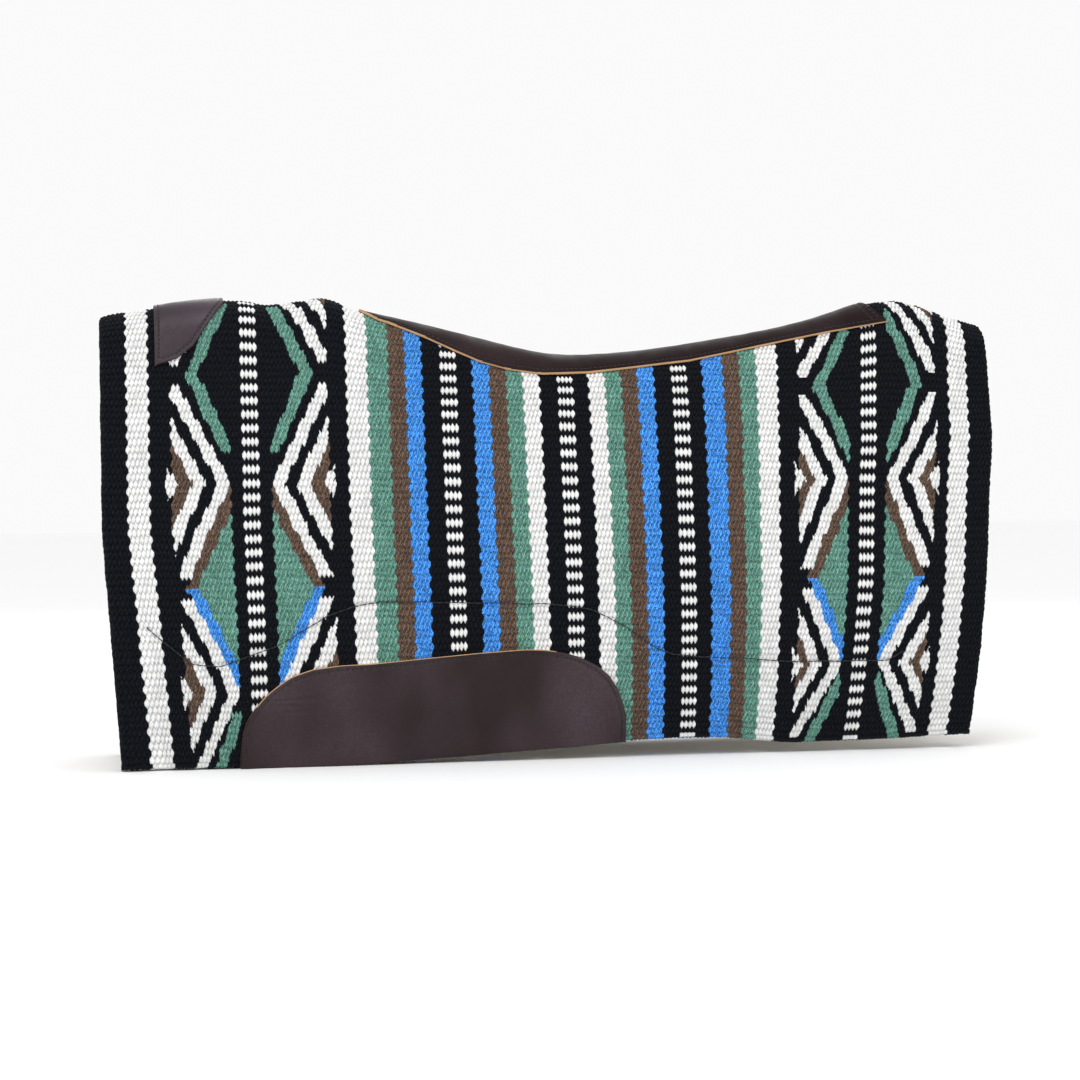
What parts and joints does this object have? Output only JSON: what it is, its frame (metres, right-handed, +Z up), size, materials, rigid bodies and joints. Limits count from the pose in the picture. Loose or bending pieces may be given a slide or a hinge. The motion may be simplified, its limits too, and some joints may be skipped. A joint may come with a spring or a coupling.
{
  "type": "saddle pad",
  "caption": "Contoured western saddle pad: woven wool top, felt core and fleece lining, leather at the spine, withers and flanks, folding out on each side of the spine.",
  "frame": {"origin": "on the floor plane, centre of the pad's footprint, under the middle of the spine", "axes": "+X towards the rear (tail) end, -Y towards the near (left) flank, +Z up; the pad stands on the lower edges of its flanks"},
  "size_m": [0.85, 0.1806, 0.4312],
  "materials": {
    "woven_wool": "weft-faced hand-woven wool with coloured stripes and chevrons",
    "fleece": "natural cream wool fleece",
    "felt": "dense grey pressed felt",
    "leather": "dark brown smooth leather, soft sheen, raw tan edge",
    "leather_thread": "waxed dark brown sewing thread",
    "black_thread": "black sewing thread"
  },
  "bodies": {
    "spine": {"woven_top_spine": "woven_wool", "lining_spine": "fleece", "dart_seam": "black_thread", "hem_stitching_spine": "black_thread", "spine_leather": "leather", "spine_stitching": "leather_thread", "wither_leather": "leather", "wither_stitching": "leather_thread"},
    "near_flank": {"woven_top_near": "woven_wool", "core_near": "felt", "lining_near": "fleece", "wear_leather_near": "leather", "wear_stitching_near": "leather_thread", "quilting_near": "black_thread", "hem_stitching_near": "black_thread"},
    "far_flank": {"woven_top_far": "woven_wool", "core_far": "felt", "lining_far": "fleece", "wear_leather_far": "leather", "wear_stitching_far": "leather_thread", "quilting_far": "black_thread", "hem_stitching_far": "black_thread"}
  },
  "joints": [
    {"name": "near_flank_fold", "type": "hinge", "parent": "spine", "child": "near_flank", "pos_m": [0, -0.0442, 0.335], "axis": [-1, 0, 0], "range_deg": [-8, 35]},
    {"name": "far_flank_fold", "type": "hinge", "parent": "spine", "child": "far_flank", "pos_m": [0, 0.0442, 0.335], "axis": [1, 0, 0], "range_deg": [-8, 35]}
  ]
}
